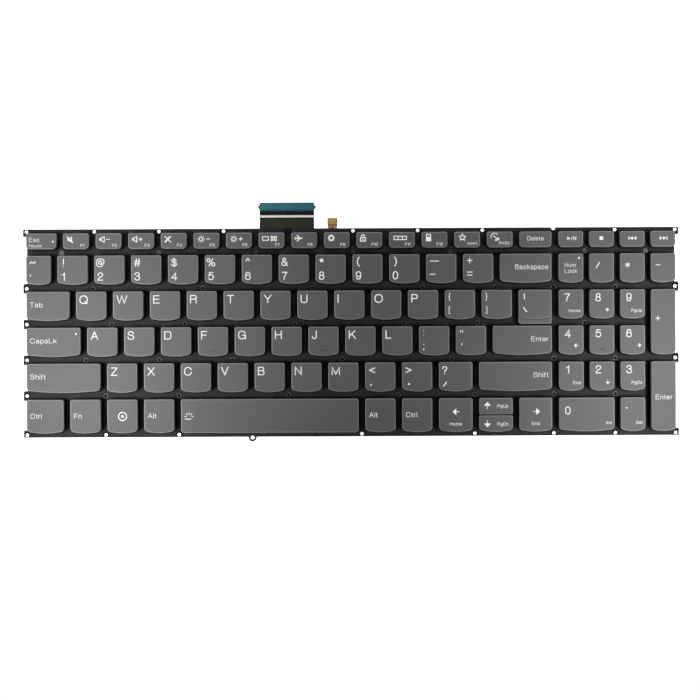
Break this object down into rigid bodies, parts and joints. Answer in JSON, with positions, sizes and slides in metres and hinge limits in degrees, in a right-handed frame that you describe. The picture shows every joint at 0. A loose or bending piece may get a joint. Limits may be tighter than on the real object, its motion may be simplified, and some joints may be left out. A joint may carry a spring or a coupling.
{
  "type": "laptop replacement keyboard",
  "caption": "Flat laptop keyboard module with low island keycaps, a number pad, a steel support plate with fixing holes, backlight films and flat ribbon tails.",
  "frame": {"origin": "centre of the back face, in the middle of the support plate's outline", "axes": "+X along the key rows to the number pad, +Y to the function row, +Z out of the keys"},
  "size_m": [0.3402, 0.1241, 0.0057],
  "materials": {
    "keycap_plastic": "soft-touch grey paint, fine satin grain",
    "black_steel": "black powder coat, satin",
    "black_film": "black printed polyester film, satin",
    "clear_film": "translucent polyester film",
    "white_film": "white reflector film, semi-gloss",
    "acrylic": "clear light guide, polished",
    "blue_film": "blue-green polyester stiffener",
    "gold_flex": "flexible circuit with gold-plated contacts",
    "light_chip": "moulded light chip with a phosphor face",
    "silicone": "milky silicone rubber, matt",
    "link_plastic": "milky acetal, smooth",
    "spring_steel": "drawn wire, bright",
    "dark_metal": "blackened stud head, satin"
  },
  "bodies": {
    "chassis": {"support_plate": "black_steel", "membrane_lower": "black_film", "membrane_spacer": "clear_film", "membrane_upper": "black_film", "ribbon_stiffener": "blue_film", "plate_studs": "dark_metal", "reflector_film": "white_film", "light_guide": "acrylic", "mask_film": "black_film", "backlight_strip": "gold_flex", "leds": "light_chip", "rubber_domes": "silicone", "scissor_outer_frames": "link_plastic", "scissor_inner_frames": "link_plastic", "stabilizer_wires": "spring_steel", "function_row_keycaps": "keycap_plastic", "numpad_keycaps": "keycap_plastic", "other_keycaps": "keycap_plastic"},
    "space_outer_frames": {"space_outer_frames": "link_plastic"},
    "space_inner_frames": {"space_inner_frames": "link_plastic"},
    "space_stabilizer": {"space_stabilizer": "spring_steel"},
    "enter_stabilizer": {"enter_stabilizer": "spring_steel"},
    "key_q": {"key_q": "keycap_plastic"},
    "key_w": {"key_w": "keycap_plastic"},
    "key_e": {"key_e": "keycap_plastic"},
    "key_r": {"key_r": "keycap_plastic"},
    "key_t": {"key_t": "keycap_plastic"},
    "key_y": {"key_y": "keycap_plastic"},
    "key_u": {"key_u": "keycap_plastic"},
    "key_i": {"key_i": "keycap_plastic"},
    "key_o": {"key_o": "keycap_plastic"},
    "key_p": {"key_p": "keycap_plastic"},
    "key_a": {"key_a": "keycap_plastic"},
    "key_s": {"key_s": "keycap_plastic"},
    "key_d": {"key_d": "keycap_plastic"},
    "key_f": {"key_f": "keycap_plastic"},
    "key_g": {"key_g": "keycap_plastic"},
    "key_h": {"key_h": "keycap_plastic"},
    "key_j": {"key_j": "keycap_plastic"},
    "key_k": {"key_k": "keycap_plastic"},
    "key_l": {"key_l": "keycap_plastic"},
    "key_z": {"key_z": "keycap_plastic"},
    "key_x": {"key_x": "keycap_plastic"},
    "key_c": {"key_c": "keycap_plastic"},
    "key_v": {"key_v": "keycap_plastic"},
    "key_b": {"key_b": "keycap_plastic"},
    "key_n": {"key_n": "keycap_plastic"},
    "key_m": {"key_m": "keycap_plastic"},
    "key_1": {"key_1": "keycap_plastic"},
    "key_2": {"key_2": "keycap_plastic"},
    "key_3": {"key_3": "keycap_plastic"},
    "key_4": {"key_4": "keycap_plastic"},
    "key_5": {"key_5": "keycap_plastic"},
    "key_6": {"key_6": "keycap_plastic"},
    "key_7": {"key_7": "keycap_plastic"},
    "key_8": {"key_8": "keycap_plastic"},
    "key_9": {"key_9": "keycap_plastic"},
    "key_0": {"key_0": "keycap_plastic"},
    "key_enter": {"key_enter": "keycap_plastic"},
    "key_space": {"key_space": "keycap_plastic"}
  },
  "joints": [
    {"name": "key_q_travel", "type": "slide", "parent": "chassis", "child": "key_q", "axis": [0, 0, -1], "range_m": [0, 0.0015], "stiffness_N_per_m": 300, "springref_m": -0.0005, "deforming": ["rubber_domes", "scissor_outer_frames", "scissor_inner_frames"]},
    {"name": "key_w_travel", "type": "slide", "parent": "chassis", "child": "key_w", "axis": [0, 0, -1], "range_m": [0, 0.0015], "stiffness_N_per_m": 300, "springref_m": -0.0005, "deforming": ["rubber_domes", "scissor_outer_frames", "scissor_inner_frames"]},
    {"name": "key_e_travel", "type": "slide", "parent": "chassis", "child": "key_e", "axis": [0, 0, -1], "range_m": [0, 0.0015], "stiffness_N_per_m": 300, "springref_m": -0.0005, "deforming": ["rubber_domes", "scissor_outer_frames", "scissor_inner_frames"]},
    {"name": "key_r_travel", "type": "slide", "parent": "chassis", "child": "key_r", "axis": [0, 0, -1], "range_m": [0, 0.0015], "stiffness_N_per_m": 300, "springref_m": -0.0005, "deforming": ["rubber_domes", "scissor_outer_frames", "scissor_inner_frames"]},
    {"name": "key_t_travel", "type": "slide", "parent": "chassis", "child": "key_t", "axis": [0, 0, -1], "range_m": [0, 0.0015], "stiffness_N_per_m": 300, "springref_m": -0.0005, "deforming": ["rubber_domes", "scissor_outer_frames", "scissor_inner_frames"]},
    {"name": "key_y_travel", "type": "slide", "parent": "chassis", "child": "key_y", "axis": [0, 0, -1], "range_m": [0, 0.0015], "stiffness_N_per_m": 300, "springref_m": -0.0005, "deforming": ["rubber_domes", "scissor_outer_frames", "scissor_inner_frames"]},
    {"name": "key_u_travel", "type": "slide", "parent": "chassis", "child": "key_u", "axis": [0, 0, -1], "range_m": [0, 0.0015], "stiffness_N_per_m": 300, "springref_m": -0.0005, "deforming": ["rubber_domes", "scissor_outer_frames", "scissor_inner_frames"]},
    {"name": "key_i_travel", "type": "slide", "parent": "chassis", "child": "key_i", "axis": [0, 0, -1], "range_m": [0, 0.0015], "stiffness_N_per_m": 300, "springref_m": -0.0005, "deforming": ["rubber_domes", "scissor_outer_frames", "scissor_inner_frames"]},
    {"name": "key_o_travel", "type": "slide", "parent": "chassis", "child": "key_o", "axis": [0, 0, -1], "range_m": [0, 0.0015], "stiffness_N_per_m": 300, "springref_m": -0.0005, "deforming": ["rubber_domes", "scissor_outer_frames", "scissor_inner_frames"]},
    {"name": "key_p_travel", "type": "slide", "parent": "chassis", "child": "key_p", "axis": [0, 0, -1], "range_m": [0, 0.0015], "stiffness_N_per_m": 300, "springref_m": -0.0005, "deforming": ["rubber_domes", "scissor_outer_frames", "scissor_inner_frames"]},
    {"name": "key_a_travel", "type": "slide", "parent": "chassis", "child": "key_a", "axis": [0, 0, -1], "range_m": [0, 0.0015], "stiffness_N_per_m": 300, "springref_m": -0.0005, "deforming": ["rubber_domes", "scissor_outer_frames", "scissor_inner_frames"]},
    {"name": "key_s_travel", "type": "slide", "parent": "chassis", "child": "key_s", "axis": [0, 0, -1], "range_m": [0, 0.0015], "stiffness_N_per_m": 300, "springref_m": -0.0005, "deforming": ["rubber_domes", "scissor_outer_frames", "scissor_inner_frames"]},
    {"name": "key_d_travel", "type": "slide", "parent": "chassis", "child": "key_d", "axis": [0, 0, -1], "range_m": [0, 0.0015], "stiffness_N_per_m": 300, "springref_m": -0.0005, "deforming": ["rubber_domes", "scissor_outer_frames", "scissor_inner_frames"]},
    {"name": "key_f_travel", "type": "slide", "parent": "chassis", "child": "key_f", "axis": [0, 0, -1], "range_m": [0, 0.0015], "stiffness_N_per_m": 300, "springref_m": -0.0005, "deforming": ["rubber_domes", "scissor_outer_frames", "scissor_inner_frames"]},
    {"name": "key_g_travel", "type": "slide", "parent": "chassis", "child": "key_g", "axis": [0, 0, -1], "range_m": [0, 0.0015], "stiffness_N_per_m": 300, "springref_m": -0.0005, "deforming": ["rubber_domes", "scissor_outer_frames", "scissor_inner_frames"]},
    {"name": "key_h_travel", "type": "slide", "parent": "chassis", "child": "key_h", "axis": [0, 0, -1], "range_m": [0, 0.0015], "stiffness_N_per_m": 300, "springref_m": -0.0005, "deforming": ["rubber_domes", "scissor_outer_frames", "scissor_inner_frames"]},
    {"name": "key_j_travel", "type": "slide", "parent": "chassis", "child": "key_j", "axis": [0, 0, -1], "range_m": [0, 0.0015], "stiffness_N_per_m": 300, "springref_m": -0.0005, "deforming": ["rubber_domes", "scissor_outer_frames", "scissor_inner_frames"]},
    {"name": "key_k_travel", "type": "slide", "parent": "chassis", "child": "key_k", "axis": [0, 0, -1], "range_m": [0, 0.0015], "stiffness_N_per_m": 300, "springref_m": -0.0005, "deforming": ["rubber_domes", "scissor_outer_frames", "scissor_inner_frames"]},
    {"name": "key_l_travel", "type": "slide", "parent": "chassis", "child": "key_l", "axis": [0, 0, -1], "range_m": [0, 0.0015], "stiffness_N_per_m": 300, "springref_m": -0.0005, "deforming": ["rubber_domes", "scissor_outer_frames", "scissor_inner_frames"]},
    {"name": "key_z_travel", "type": "slide", "parent": "chassis", "child": "key_z", "axis": [0, 0, -1], "range_m": [0, 0.0015], "stiffness_N_per_m": 300, "springref_m": -0.0005, "deforming": ["rubber_domes", "scissor_outer_frames", "scissor_inner_frames"]},
    {"name": "key_x_travel", "type": "slide", "parent": "chassis", "child": "key_x", "axis": [0, 0, -1], "range_m": [0, 0.0015], "stiffness_N_per_m": 300, "springref_m": -0.0005, "deforming": ["rubber_domes", "scissor_outer_frames", "scissor_inner_frames"]},
    {"name": "key_c_travel", "type": "slide", "parent": "chassis", "child": "key_c", "axis": [0, 0, -1], "range_m": [0, 0.0015], "stiffness_N_per_m": 300, "springref_m": -0.0005, "deforming": ["rubber_domes", "scissor_outer_frames", "scissor_inner_frames"]},
    {"name": "key_v_travel", "type": "slide", "parent": "chassis", "child": "key_v", "axis": [0, 0, -1], "range_m": [0, 0.0015], "stiffness_N_per_m": 300, "springref_m": -0.0005, "deforming": ["rubber_domes", "scissor_outer_frames", "scissor_inner_frames"]},
    {"name": "key_b_travel", "type": "slide", "parent": "chassis", "child": "key_b", "axis": [0, 0, -1], "range_m": [0, 0.0015], "stiffness_N_per_m": 300, "springref_m": -0.0005, "deforming": ["rubber_domes", "scissor_outer_frames", "scissor_inner_frames"]},
    {"name": "key_n_travel", "type": "slide", "parent": "chassis", "child": "key_n", "axis": [0, 0, -1], "range_m": [0, 0.0015], "stiffness_N_per_m": 300, "springref_m": -0.0005, "deforming": ["rubber_domes", "scissor_outer_frames", "scissor_inner_frames"]},
    {"name": "key_m_travel", "type": "slide", "parent": "chassis", "child": "key_m", "axis": [0, 0, -1], "range_m": [0, 0.0015], "stiffness_N_per_m": 300, "springref_m": -0.0005, "deforming": ["rubber_domes", "scissor_outer_frames", "scissor_inner_frames"]},
    {"name": "key_1_travel", "type": "slide", "parent": "chassis", "child": "key_1", "axis": [0, 0, -1], "range_m": [0, 0.0015], "stiffness_N_per_m": 300, "springref_m": -0.0005, "deforming": ["rubber_domes", "scissor_outer_frames", "scissor_inner_frames"]},
    {"name": "key_2_travel", "type": "slide", "parent": "chassis", "child": "key_2", "axis": [0, 0, -1], "range_m": [0, 0.0015], "stiffness_N_per_m": 300, "springref_m": -0.0005, "deforming": ["rubber_domes", "scissor_outer_frames", "scissor_inner_frames"]},
    {"name": "key_3_travel", "type": "slide", "parent": "chassis", "child": "key_3", "axis": [0, 0, -1], "range_m": [0, 0.0015], "stiffness_N_per_m": 300, "springref_m": -0.0005, "deforming": ["rubber_domes", "scissor_outer_frames", "scissor_inner_frames"]},
    {"name": "key_4_travel", "type": "slide", "parent": "chassis", "child": "key_4", "axis": [0, 0, -1], "range_m": [0, 0.0015], "stiffness_N_per_m": 300, "springref_m": -0.0005, "deforming": ["rubber_domes", "scissor_outer_frames", "scissor_inner_frames"]},
    {"name": "key_5_travel", "type": "slide", "parent": "chassis", "child": "key_5", "axis": [0, 0, -1], "range_m": [0, 0.0015], "stiffness_N_per_m": 300, "springref_m": -0.0005, "deforming": ["rubber_domes", "scissor_outer_frames", "scissor_inner_frames"]},
    {"name": "key_6_travel", "type": "slide", "parent": "chassis", "child": "key_6", "axis": [0, 0, -1], "range_m": [0, 0.0015], "stiffness_N_per_m": 300, "springref_m": -0.0005, "deforming": ["rubber_domes", "scissor_outer_frames", "scissor_inner_frames"]},
    {"name": "key_7_travel", "type": "slide", "parent": "chassis", "child": "key_7", "axis": [0, 0, -1], "range_m": [0, 0.0015], "stiffness_N_per_m": 300, "springref_m": -0.0005, "deforming": ["rubber_domes", "scissor_outer_frames", "scissor_inner_frames"]},
    {"name": "key_8_travel", "type": "slide", "parent": "chassis", "child": "key_8", "axis": [0, 0, -1], "range_m": [0, 0.0015], "stiffness_N_per_m": 300, "springref_m": -0.0005, "deforming": ["rubber_domes", "scissor_outer_frames", "scissor_inner_frames"]},
    {"name": "key_9_travel", "type": "slide", "parent": "chassis", "child": "key_9", "axis": [0, 0, -1], "range_m": [0, 0.0015], "stiffness_N_per_m": 300, "springref_m": -0.0005, "deforming": ["rubber_domes", "scissor_outer_frames", "scissor_inner_frames"]},
    {"name": "key_0_travel", "type": "slide", "parent": "chassis", "child": "key_0", "axis": [0, 0, -1], "range_m": [0, 0.0015], "stiffness_N_per_m": 300, "springref_m": -0.0005, "deforming": ["rubber_domes", "scissor_outer_frames", "scissor_inner_frames"]},
    {"name": "key_enter_travel", "type": "slide", "parent": "chassis", "child": "key_enter", "axis": [0, 0, -1], "range_m": [0, 0.0015], "stiffness_N_per_m": 300, "springref_m": -0.0005, "deforming": ["rubber_domes", "scissor_outer_frames", "scissor_inner_frames"]},
    {"name": "key_space_travel", "type": "slide", "parent": "chassis", "child": "key_space", "axis": [0, 0, -1], "range_m": [0, 0.0015], "stiffness_N_per_m": 300, "springref_m": -0.0005, "deforming": ["rubber_domes"]},
    {"name": "space_outer_frame_tilt", "type": "hinge", "parent": "chassis", "child": "space_outer_frames", "pos_m": [-0.04204, -0.04689, 0.0017], "axis": [-1, 0, 0], "range_deg": [0, 10.6]},
    {"name": "space_inner_frame_tilt", "type": "hinge", "parent": "space_outer_frames", "child": "space_inner_frames", "pos_m": [-0.04204, -0.04287, 0.0029], "axis": [1, 0, 0], "range_deg": [0, 21]},
    {"name": "space_stabilizer_tilt", "type": "hinge", "parent": "chassis", "child": "space_stabilizer", "pos_m": [-0.04204, -0.03969, 0.0017], "axis": [1, 0, 0], "range_deg": [0, 9.8]},
    {"name": "enter_stabilizer_tilt", "type": "hinge", "parent": "chassis", "child": "enter_stabilizer", "pos_m": [0.08824, -0.00083, 0.0017], "axis": [1, 0, 0], "range_deg": [0, 9.8]}
  ],
  "couplings": [
    {"joint": "space_outer_frame_tilt", "follows": "key_space_travel", "rad_per_m": 121.6},
    {"joint": "space_inner_frame_tilt", "follows": "key_space_travel", "rad_per_m": 243.2},
    {"joint": "space_stabilizer_tilt", "follows": "key_space_travel", "rad_per_m": 113.18},
    {"joint": "enter_stabilizer_tilt", "follows": "key_enter_travel", "rad_per_m": 113.18}
  ]
}
